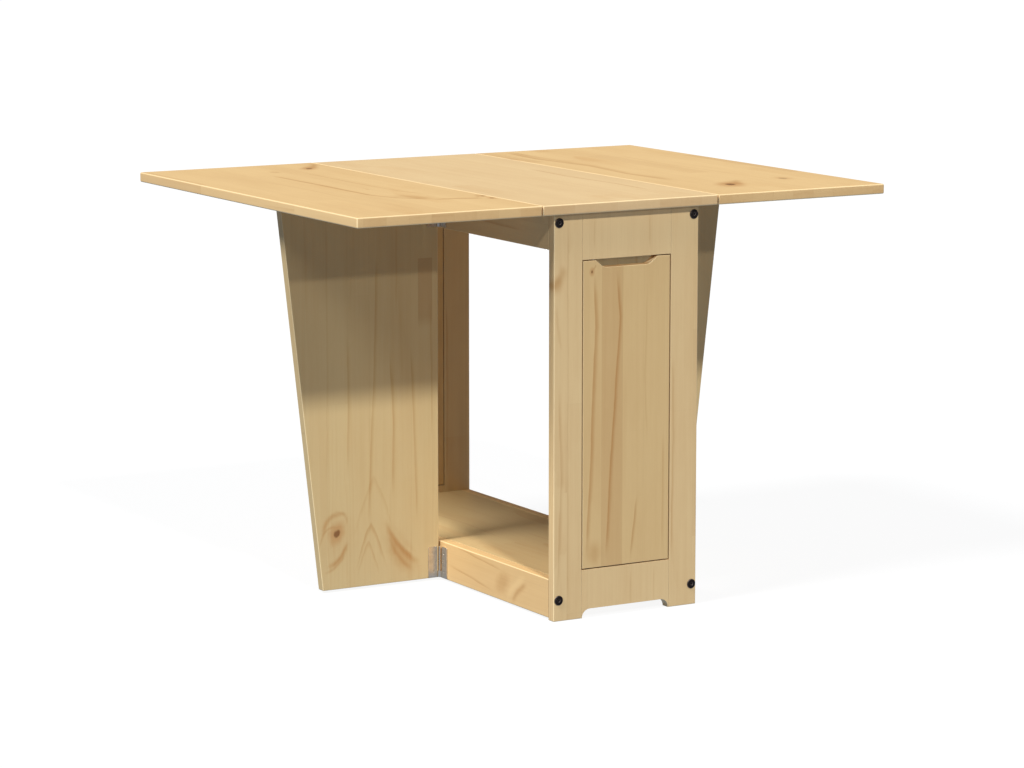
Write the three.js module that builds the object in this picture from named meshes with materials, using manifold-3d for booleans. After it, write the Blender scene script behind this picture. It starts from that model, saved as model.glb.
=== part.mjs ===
// Gateleg table in solid pine: a narrow carcass, two hinged leaves and two gates that swing out to carry
// them. Millimetres. +X runs along the open top, +Y towards the back end and +Z up, and the origin is on
// the floor at the centre.
import * as THREE from "three";
import { mergeVertices } from "three/addons/utils/BufferGeometryUtils.js";
import Module from "manifold-3d";

const wasm = await Module();
wasm.setup();

// Top
const TOP_LENGTH = 1070;
const TOP_DEPTH = 860;
const HEIGHT = 730;
const BOARD = 18;
const SEAM_X = 178.5;
const SEAM_GAP = 2;
const UNDERSIDE = HEIGHT - BOARD;

// GAP is left between pieces that touch. A cutter runs OVERRUN past the face it opens.
const GAP = 0.3;
const OVERRUN = 1;
const MERGE_WITHIN = 1e-4;
const ARC_STEPS = 8;

// Carcass
const CARCASS_WIDTH = 294;
const FRAME_FACE_Y = 415;
const FRAME_INNER_Y = FRAME_FACE_Y - BOARD;
const STILE_WIDTH = 56.5;
const RAIL_THICKNESS = 20;
const APRON_BOTTOM = 649;
const BASE_BOTTOM = 4;
const BASE_TOP = 73;
const OPENING_BOTTOM = 86;
const OPENING_TOP = 630;
const TOE_HEIGHT = 16;
const TOE_FOOT = 1;

// Doors
const DOOR_GAP = 2;
const NOTCH_TOP_WIDTH = 125;
const NOTCH_BOTTOM_WIDTH = 94;
const NOTCH_DEPTH = 13;
const NOTCH_ROUND = 5;
const PIVOT_INSET = 24;
const PIVOT_RADIUS = 3;
const PIVOT_DEPTH = 9;
const CATCH_SIZE = [20, 10, 40];
const CATCH_BELOW_OPENING = 20;

// Gates
const GATE_THICKNESS = 18;
const GATE_FRONT_Y = -12;
const GATE_INNER_X = 150.5;
const GATE_BOTTOM = 5;
const GATE_REACH_BOTTOM = 388.5;
const GATE_REACH_TOP = 468;

// Connector bolts
const BOLT_X = 137;
const BOLT_UPPER_Z = 697;
const BOLT_LOWER_Z = 37.5;
const BOLT_SHANK = 60;
const BOLT_RADIUS = 3;
const BOLT_CLEARANCE = 0.4;
const BOLT_HEAD_RADIUS = 8.5;
const BOLT_HEAD = 2;
const BOLT_RIM = 1.1;
const BOLT_CROWN_INSET = 1.2;
const BOLT_HOLE_SPARE = 3;
const SOCKET_RADIUS = 2.3;
const SOCKET_DEPTH = 3;

// Hinges. standoff is from the pin's axis to the near face of a plate.
const PLATE = 1.5;
const RUNNING_GAP = 0.3;
const GATE_HINGE = { height: 57, width: 22, pin: 1.5, barrel: 3.5, standoff: 2.2 };
const GATE_HINGE_FROM_FACE = 4;
const GATE_HINGE_MIDDLES = { lower: 35, upper: 680 };
const LEAF_HINGE = { height: 60, width: 29, pin: 1.25, barrel: 3, standoff: 1 };
const LEAF_HINGE_Y = 370;
const KNUCKLES = 5;
const BARREL_SIDES = 12;
const ROUND_SIDES = 24;
const HEX_SIDES = 6;

const PINE_TOP = { color: 0xecca92, roughness: 0.45, metalness: 0 };
const PINE_FRAME = { color: 0xc6aa7a, roughness: 0.5, metalness: 0 };
const PINE_DOOR = { color: 0xbea069, roughness: 0.5, metalness: 0 };
const PINE_BASE = { color: 0xe1bc80, roughness: 0.5, metalness: 0 };
const PINE_GATE = { color: 0xc8aa78, roughness: 0.5, metalness: 0 };
const ZINC_STEEL = { color: 0x9aa3ac, roughness: 0.35, metalness: 1 };
const BLACK_STEEL = { color: 0x141414, roughness: 0.45, metalness: 0.8 };
const BROWN_PLASTIC = { color: 0x4a3524, roughness: 0.6, metalness: 0 };

function solidOf(geometry) {
  const plain = geometry.clone();
  plain.deleteAttribute("normal");
  plain.deleteAttribute("uv");
  const merged = mergeVertices(plain, MERGE_WITHIN);
  return new wasm.Manifold(
    new wasm.Mesh({
      numProp: 3,
      vertProperties: new Float32Array(merged.attributes.position.array),
      triVerts: new Uint32Array(merged.index.array),
    }),
  );
}

function geometryOf(solid) {
  const mesh = solid.getMesh();
  const geometry = new THREE.BufferGeometry();
  geometry.setAttribute("position", new THREE.BufferAttribute(mesh.vertProperties, 3));
  geometry.setIndex(new THREE.BufferAttribute(mesh.triVerts, 1));
  geometry.computeVertexNormals();
  return geometry;
}

function block(low, high) {
  const size = high.map((value, axis) => value - low[axis]);
  const middle = high.map((value, axis) => (value + low[axis]) / 2);
  return new THREE.BoxGeometry(...size).translate(...middle);
}

// A cylinder whose axis runs along +Y from y0 to y1.
function rodAlongY(radius, x, z, y0, y1, sides = ROUND_SIDES) {
  const rod = new THREE.CylinderGeometry(radius, radius, y1 - y0, sides);
  return rod.translate(x, (y0 + y1) / 2, z);
}

// A cylinder whose axis runs along +Z from z0 to z1.
function rodAlongZ(radius, x, y, z0, z1, sides = ROUND_SIDES) {
  const rod = new THREE.CylinderGeometry(radius, radius, z1 - z0, sides).rotateX(Math.PI / 2);
  return rod.translate(x, y, (z0 + z1) / 2);
}

// An outline drawn in X and Z, given thickness along Y from y0 to y1.
function panel(shape, y0, y1) {
  const options = { depth: y1 - y0, bevelEnabled: false, curveSegments: ARC_STEPS };
  const extruded = new THREE.ExtrudeGeometry(shape, options);
  return extruded.rotateX(Math.PI / 2).translate(0, y1, 0);
}

function subtract(geometry, cutters) {
  const cut = cutters.reduce((solid, cutter) => solid.subtract(solidOf(cutter)), solidOf(geometry));
  return geometryOf(cut);
}

function join(geometries) {
  const joined = geometries.map(solidOf).reduce((whole, piece) => whole.add(piece));
  return geometryOf(joined);
}

function addPiece(parent, name, geometry, look) {
  const mesh = new THREE.Mesh(geometry, new THREE.MeshStandardMaterial(look));
  mesh.name = name;
  parent.add(mesh);
  return mesh;
}

// Half a turn about the vertical axis carries the left and front pieces onto the right and back ones.
function halfTable(parent, turned) {
  const half = new THREE.Group();
  half.rotation.z = turned ? Math.PI : 0;
  parent.add(half);
  return half;
}

const boltPlaces = [
  ["upper", BOLT_UPPER_Z],
  ["lower", BOLT_LOWER_Z],
];

function boltHoles(x, y0, y1) {
  return boltPlaces.map(([, z]) => rodAlongY(BOLT_RADIUS + BOLT_CLEARANCE, x, z, y0, y1));
}

// The recess in the boards' undersides that takes a leaf hinge's plates and barrel.
function leafHingeRecesses(x) {
  const { height, width, barrel, standoff } = LEAF_HINGE;
  const plateTop = UNDERSIDE + PLATE + GAP;
  const barrelTop = UNDERSIDE - standoff + barrel + 2 * GAP;
  return [-LEAF_HINGE_Y, LEAF_HINGE_Y].flatMap((y) => {
    const y0 = y - height / 2 - GAP;
    const y1 = y + height / 2 + GAP;
    return [
      block([x - width - GAP, y0, UNDERSIDE - OVERRUN], [x + width + GAP, y1, plateTop]),
      block([x - barrel - GAP, y0, UNDERSIDE - OVERRUN], [x + barrel + GAP, y1, barrelTop]),
    ];
  });
}

function topBoard(x0, x1) {
  const board = block([x0, -TOP_DEPTH / 2, UNDERSIDE], [x1, TOP_DEPTH / 2, HEIGHT]);
  const seams = [-SEAM_X, SEAM_X].filter((x) => x > x0 - BOARD && x < x1 + BOARD);
  const recesses = seams.flatMap(leafHingeRecesses);
  return subtract(board, recesses);
}

function addTop(table) {
  const edge = SEAM_X - SEAM_GAP / 2;
  const leafEdge = SEAM_X + SEAM_GAP / 2;
  addPiece(table, "top_centre_board", topBoard(-edge, edge), PINE_TOP);
  addPiece(table, "left_leaf_board", topBoard(-TOP_LENGTH / 2, -leafEdge), PINE_TOP);
  addPiece(table, "right_leaf_board", topBoard(leafEdge, TOP_LENGTH / 2), PINE_TOP);
}

// An apron or base rail: it runs from end frame to end frame and takes a bolt in each end.
function longRail(x0, x1, z0, z1, boltZ) {
  const y = FRAME_INNER_Y - GAP;
  const depth = BOLT_SHANK - BOARD + BOLT_HOLE_SPARE;
  const x = (x0 + x1) / 2;
  const radius = BOLT_RADIUS + BOLT_CLEARANCE;
  const holes = [
    rodAlongY(radius, x, boltZ, -y - OVERRUN, -y + depth),
    rodAlongY(radius, x, boltZ, y - depth, y + OVERRUN),
  ];
  return subtract(block([x0, -y, z0], [x1, y, z1]), holes);
}

function addLongRails(table) {
  const outer = CARCASS_WIDTH / 2;
  const inner = outer - RAIL_THICKNESS;
  for (const [side, x0, x1] of [
    ["left", -outer, -inner],
    ["right", inner, outer],
  ]) {
    const apron = longRail(x0, x1, APRON_BOTTOM, UNDERSIDE - GAP, BOLT_UPPER_Z);
    const baseRail = longRail(x0, x1, BASE_BOTTOM, BASE_TOP, BOLT_LOWER_Z);
    addPiece(table, `${side}_apron`, apron, PINE_FRAME);
    addPiece(table, `${side}_base_rail`, baseRail, PINE_BASE);
  }
  const y = FRAME_INNER_Y - GAP;
  const shelf = block([-inner + GAP, -y, BASE_TOP - BOARD], [inner - GAP, y, BASE_TOP]);
  addPiece(table, "base_shelf", shelf, PINE_BASE);
}

// The bottom rail's lower edge is an arch with a quarter-round at each foot.
function bottomRailShape(halfWidth) {
  const spring = halfWidth - TOE_FOOT;
  const crown = spring - TOE_HEIGHT;
  const shape = new THREE.Shape();
  shape.moveTo(-halfWidth, 0);
  shape.lineTo(-spring, 0);
  shape.absarc(-crown, 0, TOE_HEIGHT, Math.PI, Math.PI / 2, true);
  shape.absarc(crown, 0, TOE_HEIGHT, Math.PI / 2, 0, true);
  shape.lineTo(halfWidth, 0);
  shape.lineTo(halfWidth, OPENING_BOTTOM);
  shape.lineTo(-halfWidth, OPENING_BOTTOM);
  shape.closePath();
  return shape;
}

// The door's top edge dips in the middle for the fingers.
function doorShape(halfWidth, z0, z1) {
  const top = NOTCH_TOP_WIDTH / 2;
  const bottom = NOTCH_BOTTOM_WIDTH / 2;
  const floor = z1 - NOTCH_DEPTH;
  const slope = (top - bottom) / NOTCH_DEPTH;
  const rise = NOTCH_ROUND;
  const shape = new THREE.Shape();
  shape.moveTo(-halfWidth, z0);
  shape.lineTo(halfWidth, z0);
  shape.lineTo(halfWidth, z1);
  shape.lineTo(top, z1);
  shape.lineTo(bottom + slope * rise, floor + rise);
  shape.quadraticCurveTo(bottom, floor, bottom - NOTCH_ROUND, floor);
  shape.lineTo(-bottom + NOTCH_ROUND, floor);
  shape.quadraticCurveTo(-bottom, floor, -bottom - slope * rise, floor + rise);
  shape.lineTo(-top, z1);
  shape.lineTo(-halfWidth, z1);
  shape.closePath();
  return shape;
}

function connectorBolt(x, z) {
  const y = -FRAME_FACE_Y - GAP;
  const head = BOLT_HEAD_RADIUS;
  // The head is a low dome turned about the bolt's axis.
  const profile = [
    new THREE.Vector2(0, 0),
    new THREE.Vector2(head, 0),
    new THREE.Vector2(head, BOLT_RIM),
    new THREE.Vector2(head - BOLT_CROWN_INSET, BOLT_HEAD),
    new THREE.Vector2(0, BOLT_HEAD),
  ];
  const dome = new THREE.LatheGeometry(profile, ROUND_SIDES).rotateX(Math.PI).translate(x, y, z);
  const shank = rodAlongY(BOLT_RADIUS, x, z, y - BOLT_HEAD / 2, y + BOLT_SHANK);
  const face = y - BOLT_HEAD;
  const socket = rodAlongY(SOCKET_RADIUS, x, z, face - OVERRUN, face + SOCKET_DEPTH, HEX_SIDES);
  return subtract(join([dome, shank]), [socket]);
}

function addStiles(half, end, sides) {
  const outer = CARCASS_WIDTH / 2;
  const inner = outer - STILE_WIDTH;
  for (const [side, sign] of sides) {
    const [x0, x1] = sign < 0 ? [-outer, -inner] : [inner, outer];
    const stile = block([x0, -FRAME_FACE_Y, 0], [x1, -FRAME_INNER_Y, UNDERSIDE - GAP]);
    const x = sign * BOLT_X;
    const holes = boltHoles(x, -FRAME_FACE_Y - OVERRUN, -FRAME_INNER_Y + OVERRUN);
    addPiece(half, `${end}_${side}_stile`, subtract(stile, holes), PINE_FRAME);
    for (const [level, z] of boltPlaces) {
      addPiece(half, `${end}_${side}_${level}_bolt`, connectorBolt(x, z), BLACK_STEEL);
    }
  }
}

// One end frame with its rails, door, pivot pins and catch, drawn at the front.
function addEndFrame(table, end, turned) {
  const half = halfTable(table, turned);
  const sides = turned
    ? [["right", -1], ["left", 1]]
    : [["left", -1], ["right", 1]];
  addStiles(half, end, sides);

  const opening = CARCASS_WIDTH / 2 - STILE_WIDTH;
  const railHalf = opening - GAP;
  const middleY = -(FRAME_FACE_Y + FRAME_INNER_Y) / 2;
  const doorHalf = opening - DOOR_GAP;
  const doorBottom = OPENING_BOTTOM + DOOR_GAP;
  const doorTop = OPENING_TOP - DOOR_GAP;
  const pivotX = -doorHalf + PIVOT_INSET;
  const hole = PIVOT_RADIUS + GAP;
  const pivots = [
    ["bottom", OPENING_BOTTOM - PIVOT_DEPTH, doorBottom + PIVOT_DEPTH],
    ["top", doorTop - PIVOT_DEPTH, OPENING_TOP + PIVOT_DEPTH],
  ];
  const pivotHoles = pivots.map(([, z0, z1]) => rodAlongZ(hole, pivotX, middleY, z0 - GAP, z1 + GAP));

  const top = UNDERSIDE - GAP;
  const topRail = block([-railHalf, -FRAME_FACE_Y, OPENING_TOP], [railHalf, -FRAME_INNER_Y, top]);
  const bottomRail = panel(bottomRailShape(railHalf), -FRAME_FACE_Y, -FRAME_INNER_Y);
  const door = panel(doorShape(doorHalf, doorBottom, doorTop), -FRAME_FACE_Y, -FRAME_INNER_Y);
  addPiece(half, `${end}_top_rail`, subtract(topRail, [pivotHoles[1]]), PINE_FRAME);
  addPiece(half, `${end}_bottom_rail`, subtract(bottomRail, [pivotHoles[0]]), PINE_FRAME);
  addPiece(half, `${end}_door`, subtract(door, pivotHoles), PINE_DOOR);
  for (const [level, z0, z1] of pivots) {
    const pin = rodAlongZ(PIVOT_RADIUS, pivotX, middleY, z0, z1);
    addPiece(half, `${end}_door_${level}_pivot`, pin, ZINC_STEEL);
  }

  const [catchWidth, catchDepth, catchHeight] = CATCH_SIZE;
  const catchX = doorHalf - catchWidth / 2 - DOOR_GAP;
  const catchY = -FRAME_INNER_Y + GAP;
  const catchZ = OPENING_TOP - CATCH_BELOW_OPENING;
  const latch = block(
    [catchX - catchWidth / 2, catchY, catchZ],
    [catchX + catchWidth / 2, catchY + catchDepth, catchZ + catchHeight],
  );
  addPiece(half, `${end}_door_catch`, latch, BROWN_PLASTIC);
}

// A hinge leaf about a pin on the local Z axis. Its plate reaches out along -X, beside the pin.
function hingeLeaf({ height, width, pin, barrel, standoff }, plateSide, firstKnuckle) {
  const clear = barrel + RUNNING_GAP;
  const [y0, y1] = [plateSide * standoff, plateSide * (standoff + PLATE)].sort((a, b) => a - b);
  const pieces = [block([-width, y0, 0], [-clear, y1, height])];
  const pitch = height / KNUCKLES;
  for (let k = firstKnuckle; k < KNUCKLES; k += 2) {
    const z0 = k * pitch + (k > 0 ? RUNNING_GAP / 2 : 0);
    const z1 = (k + 1) * pitch - (k < KNUCKLES - 1 ? RUNNING_GAP / 2 : 0);
    pieces.push(rodAlongZ(barrel, 0, 0, z0, z1, BARREL_SIDES));
    pieces.push(block([-clear - OVERRUN, y0, z0], [-pin - 2 * GAP, y1, z1]));
  }
  const bore = rodAlongZ(pin + GAP, 0, 0, -OVERRUN, height + OVERRUN, BARREL_SIDES);
  return subtract(join(pieces), [bore]);
}

function hingePin({ height, pin }) {
  return rodAlongZ(pin, 0, 0, 0, height, BARREL_SIDES);
}

// A gate and its two hinges, drawn on the left; the hinges stand in the corner in front of the gate.
function addGate(table, side, turned) {
  const half = halfTable(table, turned);
  const shape = new THREE.Shape();
  shape.moveTo(-GATE_INNER_X, GATE_BOTTOM);
  shape.lineTo(-GATE_INNER_X, UNDERSIDE - GAP);
  shape.lineTo(-GATE_REACH_TOP, UNDERSIDE - GAP);
  shape.lineTo(-GATE_REACH_BOTTOM, GATE_BOTTOM);
  shape.closePath();
  const gate = panel(shape, GATE_FRONT_Y, GATE_FRONT_Y + GATE_THICKNESS);
  addPiece(half, `${side}_gate`, gate, PINE_GATE);

  for (const [level, middle] of Object.entries(GATE_HINGE_MIDDLES)) {
    const hinge = new THREE.Group();
    const x = -CARCASS_WIDTH / 2 - GATE_HINGE_FROM_FACE;
    hinge.position.set(x, GATE_FRONT_Y - GATE_HINGE_FROM_FACE, middle - GATE_HINGE.height / 2);
    half.add(hinge);
    const name = `${side}_gate_${level}_hinge`;
    const fixed = addPiece(hinge, `${name}_fixed_leaf`, hingeLeaf(GATE_HINGE, -1, 0), ZINC_STEEL);
    fixed.rotation.z = Math.PI / 2;
    addPiece(hinge, `${name}_moving_leaf`, hingeLeaf(GATE_HINGE, 1, 1), ZINC_STEEL);
    addPiece(hinge, `${name}_pin`, hingePin(GATE_HINGE), ZINC_STEEL);
  }
}

// The two hinges under one seam, drawn on the left; their pins run along Y.
function addLeafHinges(table, side, turned) {
  const half = halfTable(table, turned);
  const ends = turned
    ? { back: -LEAF_HINGE_Y, front: LEAF_HINGE_Y }
    : { front: -LEAF_HINGE_Y, back: LEAF_HINGE_Y };
  for (const [end, y] of Object.entries(ends)) {
    const hinge = new THREE.Group();
    hinge.position.set(-SEAM_X, y - LEAF_HINGE.height / 2, UNDERSIDE - LEAF_HINGE.standoff);
    hinge.rotation.x = -Math.PI / 2;
    half.add(hinge);
    const name = `${side}_leaf_${end}_hinge`;
    const fixed = addPiece(hinge, `${name}_fixed_leaf`, hingeLeaf(LEAF_HINGE, 1, 0), ZINC_STEEL);
    fixed.rotation.z = Math.PI;
    addPiece(hinge, `${name}_moving_leaf`, hingeLeaf(LEAF_HINGE, -1, 1), ZINC_STEEL);
    addPiece(hinge, `${name}_pin`, hingePin(LEAF_HINGE), ZINC_STEEL);
  }
}

const table = new THREE.Group();
addTop(table);
addLongRails(table);
addEndFrame(table, "front", false);
addEndFrame(table, "back", true);
addGate(table, "left", false);
addGate(table, "right", true);
addLeafHinges(table, "left", false);
addLeafHinges(table, "right", true);

export default table;
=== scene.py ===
"""The finished look of a gateleg table in clear-lacquered pine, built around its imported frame.

Metres. +X runs along the open top, +Y towards the back end and +Z up, and the floor is at Z 0.
"""

import math

import bmesh
import bpy
from mathutils import Matrix, Vector


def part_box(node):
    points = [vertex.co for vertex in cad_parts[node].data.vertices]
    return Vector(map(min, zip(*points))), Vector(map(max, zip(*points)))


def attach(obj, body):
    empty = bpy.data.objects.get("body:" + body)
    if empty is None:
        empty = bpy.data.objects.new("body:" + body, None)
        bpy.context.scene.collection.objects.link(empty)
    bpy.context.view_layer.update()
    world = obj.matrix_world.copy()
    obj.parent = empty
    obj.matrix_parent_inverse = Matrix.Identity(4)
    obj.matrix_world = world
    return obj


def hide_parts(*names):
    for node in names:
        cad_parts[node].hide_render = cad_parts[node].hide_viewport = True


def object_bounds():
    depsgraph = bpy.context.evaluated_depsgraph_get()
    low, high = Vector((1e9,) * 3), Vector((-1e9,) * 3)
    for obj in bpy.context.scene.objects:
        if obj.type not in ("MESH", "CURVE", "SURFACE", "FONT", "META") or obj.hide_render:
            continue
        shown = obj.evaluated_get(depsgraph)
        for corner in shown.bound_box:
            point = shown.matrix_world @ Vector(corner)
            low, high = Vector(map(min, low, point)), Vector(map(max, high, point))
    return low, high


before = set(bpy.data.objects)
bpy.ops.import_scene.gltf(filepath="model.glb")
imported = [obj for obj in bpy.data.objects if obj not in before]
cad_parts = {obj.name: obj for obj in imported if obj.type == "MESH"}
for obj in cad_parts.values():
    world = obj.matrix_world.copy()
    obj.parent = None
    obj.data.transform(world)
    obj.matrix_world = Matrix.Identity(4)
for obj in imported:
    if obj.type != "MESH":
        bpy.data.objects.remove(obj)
cad_low, cad_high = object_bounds()

MM = 0.001
X, Y, Z = 0, 1, 2
SIDES = ("left", "right")
ENDS = ("front", "back")
LEVELS = ("lower", "upper")

# Rounding of edges, and how finely a round is drawn
TOP_ROUND = 2.6 * MM
SEAM_ROUND = 1.2 * MM
FRAME_ROUND = 1.6 * MM
GATE_ROUND = 1.5 * MM
BASE_ROUND = 2.0 * MM
DOOR_ROUND = 1.0 * MM
JOINT_ROUND = 0.35 * MM
PLATE_ROUND = 0.25 * MM
ROUND_STEPS = 3
SHARP_ANGLE = math.radians(40)
ARC_STEPS = 10
TURNED_SIDES = 40
FIT = 0.3 * MM
SPARE = 5 * MM
WELD = 1e-7

# The arch under an end frame, and the finger notch in a door
TOE_HEIGHT = 16 * MM
TOE_FOOT = 1 * MM
NOTCH_TOP = 62.5 * MM
NOTCH_BOTTOM = 47 * MM
NOTCH_DEPTH = 13 * MM
NOTCH_ROUND = 7 * MM

# Connector bolts: the head, its hexagon socket, the shank and the thread at its end
BOLT_HEAD = 2 * MM
BOLT_SHANK_RADIUS = 3 * MM
BOLT_SOCKET_RADIUS = 2.4 * MM
BOLT_SOCKET_DEPTH = 1.6 * MM
BOLT_SOCKET_MOUTH = 0.7 * MM
BOLT_THREAD_PITCH = 1.25 * MM
BOLT_THREAD_DEPTH = 0.6 * MM
BOLT_THREADS = 14
BOLT_HOLE = 3.4 * MM
BOLT_HOLE_DEPTH = 45 * MM

# How far inside a bolt head's rim its outline is, and at which height, in millimetres
BOLT_CROWN = ((0.3, 0), (0, 0.25), (0, 0.9), (0.25, 1.3), (0.9, 1.65), (2.2, 1.9))

# Hinges. The stand-off is from the pin's middle to the near face of a plate.
PLATE_THICKNESS = 1.5 * MM
PLATE_CORNER = 2.5 * MM
KNUCKLES = 5
RUNNING_GAP = 0.3 * MM
GATE_STANDOFF = 2.2 * MM
LEAF_STANDOFF = 1.0 * MM
GATE_BARREL = 3.5 * MM
LEAF_BARREL = 3.0 * MM
CURL_OPENING = math.radians(28)
CURL_ROOT = 0.6 * MM
SCREW_FROM_END = 0.2

# Countersunk screws, as radius and depth below the head's face
SCREW_HEAD = 2.9 * MM
SCREW_NECK = 1.4 * MM
SCREW_CONE = 1.4 * MM
SCREW_RIM = 0.25 * MM
SCREW_LENGTH = 9 * MM
SCREW_POINT = 0.6 * MM
SCREW_TAPER = 3 * MM
SCREW_HOLE_SPARE = 0.15 * MM
SCREW_TURNS = (25, 65)
SCREW_SLOT = 0.5 * MM
SCREW_SLOT_REACH = 1.8 * MM
SCREW_SLOT_DEPTH = 0.9 * MM
SCREW_INSET = 0.1 * MM

# Magnetic catch, with grooves at these shares of its height
CATCH_ROUND = 1.5 * MM
CATCH_GROOVE = 1.2 * MM
CATCH_GROOVES = (0.22, 0.5, 0.78)

# A pin's end, as shares of its radius: how wide it is at each distance from the end
PIN_END = ((0.55, 0), (0.85, 0.12), (1, 0.4))

# Floor and backdrop
FLOOR_REACH = 50
FLOOR_DROP = 0.2 * MM
FLOOR_GLOW = 0.90
FLOOR_GREY = 0.12
DOME_RADIUS = 40
DOME_GLOW = 0.97

# Camera: its place, its turn in degrees, and its lens and sensor in millimetres
CAMERA_PLACE = (-3.30733, -5.69208, 1.41292)
CAMERA_TURN = (80.8226, 0, -30.2456)
CAMERA_LENS = 127.436
CAMERA_SENSOR = 36

# Each sun's name, the way that it shines, its strength, and its softness in degrees
SUNS = (
    ("key", (0.17, 1.0, -0.87), 1.78, 4),
    ("left", (1.0, 0.10, -1.08), 2.85, 16),
    ("low_front", (0.0, 1.0, -0.344), 0.32, 1.5),
    ("rear_fill", (-0.5, -0.85, 0.12), 0.6, 6),
)
ROOM_COLOUR = (0.84, 1.02, 1.36)
ROOM_STRENGTH = 0.06
BOUNCE_STRENGTH = 0.22


# ---------------------------------------------------------------- patterns


class Field:
    """A number that varies over a surface. Arithmetic on fields adds Math nodes to their material."""

    def __init__(self, tree, socket):
        self.tree = tree
        self.socket = socket

    def math(self, operation, *others):
        node = self.tree.nodes.new("ShaderNodeMath")
        node.operation = operation
        for entry, value in zip(node.inputs, (self, *others)):
            plug(self.tree, entry, value)
        return Field(self.tree, node.outputs[0])

    def __add__(self, other):
        return self.math("ADD", other)

    __radd__ = __add__

    def __mul__(self, other):
        return self.math("MULTIPLY", other)

    __rmul__ = __mul__

    def __sub__(self, other):
        return self.math("SUBTRACT", other)

    def __rsub__(self, other):
        return (self * -1).math("ADD", other)

    def __truediv__(self, other):
        return self.math("DIVIDE", other)

    def __abs__(self):
        return self.math("ABSOLUTE")

    def floor(self):
        return self.math("FLOOR")

    def fract(self):
        return self.math("FRACT")

    def least(self, other):
        return self.math("MINIMUM", other)

    def most(self, other):
        return self.math("MAXIMUM", other)

    def length_with(self, other):
        return (self * self + other * other).math("SQRT")

    def bell(self):
        """1 where the field is 0, falling away over 1 on either side."""
        return (self * self * -1).math("EXPONENT")

    def ramp(self, low, high):
        """0 at low, 1 at high and smooth between them. Low may be the larger."""
        node = self.tree.nodes.new("ShaderNodeMapRange")
        node.interpolation_type = "SMOOTHSTEP"
        for name, value in zip(("Value", "From Min", "From Max"), (self, low, high)):
            plug(self.tree, node.inputs[name], value)
        return Field(self.tree, node.outputs[0])


def plug(tree, entry, value):
    """Joins a field to a node's input, or sets the input to a plain value."""
    if isinstance(value, Field):
        tree.links.new(value.socket, entry)
    else:
        entry.default_value = value


class Surface:
    """A material with a principled shader, and the patterns that feed it."""

    def __init__(self, name):
        self.material = bpy.data.materials.new(name)
        self.material.use_nodes = True
        self.tree = self.material.node_tree
        self.shader = self.tree.nodes["Principled BSDF"]
        self.places = self.tree.nodes.new("ShaderNodeTexCoord")

    def split(self, output):
        node = self.tree.nodes.new("ShaderNodeSeparateXYZ")
        self.tree.links.new(self.places.outputs[output], node.inputs[0])
        return [Field(self.tree, node.outputs[axis]) for axis in range(3)]

    def vector(self, *parts):
        node = self.tree.nodes.new("ShaderNodeCombineXYZ")
        for entry, value in zip(node.inputs, parts):
            plug(self.tree, entry, value)
        return node.outputs[0]

    def noise(self, *parts, detail=2.0, roughness=0.5):
        """Smooth noise from 0 to 1, about 0.5. A part is a place times how often it changes in a metre."""
        node = self.tree.nodes.new("ShaderNodeTexNoise")
        node.inputs["Scale"].default_value = 1.0
        node.inputs["Detail"].default_value = detail
        node.inputs["Roughness"].default_value = roughness
        self.tree.links.new(self.vector(*parts), node.inputs["Vector"])
        return Field(self.tree, node.outputs["Fac"])

    def chance(self, *parts):
        """Three random numbers from 0 to 1 that stay the same while the parts do."""
        node = self.tree.nodes.new("ShaderNodeTexWhiteNoise")
        self.tree.links.new(self.vector(*parts), node.inputs["Vector"])
        colours = self.tree.nodes.new("ShaderNodeSeparateColor")
        self.tree.links.new(node.outputs["Color"], colours.inputs[0])
        return [Field(self.tree, output) for output in colours.outputs]

    def even_noise(self, rate, detail):
        """Noise that changes at the same rate in every direction, fixed to the wood or metal."""
        return self.noise(*(part * rate for part in self.split("Object")), detail=detail)

    def edges(self, flat, rounded):
        """0 on faces square to an axis and 1 on rounded edges, by the largest part of the normal."""
        x, y, z = self.split("Normal")
        return abs(x).most(abs(y)).most(abs(z)).ramp(flat, rounded)

    def mix(self, share, first, second):
        node = self.tree.nodes.new("ShaderNodeMix")
        node.data_type = "RGBA"
        plug(self.tree, node.inputs[0], share)
        for entry, colour in zip((node.inputs[6], node.inputs[7]), (first, second)):
            if isinstance(colour, bpy.types.NodeSocket):
                self.tree.links.new(colour, entry)
            else:
                entry.default_value = (*colour, 1.0)
        return node.outputs[2]

    def brighten(self, colour, factor):
        """The colour times a field."""
        node = self.tree.nodes.new("ShaderNodeVectorMath")
        node.operation = "SCALE"
        self.tree.links.new(colour, node.inputs[0])
        self.tree.links.new(factor.socket, node.inputs["Scale"])
        return node.outputs[0]

    def finish(self, colour, roughness, relief, depth):
        """Joins the patterns to the shader. Relief is a field from 0 to 1, and depth its height."""
        self.tree.links.new(colour, self.shader.inputs["Base Color"])
        plug(self.tree, self.shader.inputs["Roughness"], roughness)
        bump = self.tree.nodes.new("ShaderNodeBump")
        bump.inputs["Distance"].default_value = depth
        self.tree.links.new(relief.socket, bump.inputs["Height"])
        self.tree.links.new(bump.outputs[0], self.shader.inputs["Normal"])
        return self.material


def linear(red, green, blue):
    """A screen colour, 0 to 255 in each part, as the linear light that shaders take."""

    def part(value):
        share = value / 255
        return share / 12.92 if share <= 0.04045 else ((share + 0.055) / 1.055) ** 2.4

    return part(red), part(green), part(blue)


# ---------------------------------------------------------------- pine

LATEWOOD = linear(196, 142, 82)
KNOT_BROWN = linear(118, 70, 36)
KNOT_HALO = linear(196, 132, 70)
HEARTWOOD = linear(178, 122, 70)
# Rounded edges are mixed towards this: part paler sanded wood, part a painted highlight on the rounds.
SANDED_EDGE_AND_HIGHLIGHT = linear(255, 236, 190)


def box_round(nodes):
    """The low and high corners of the box round several nodes."""
    lows, highs = zip(*(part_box(node) for node in nodes))
    return Vector([min(parts) for parts in zip(*lows)]), Vector([max(parts) for parts in zip(*highs)])


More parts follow.
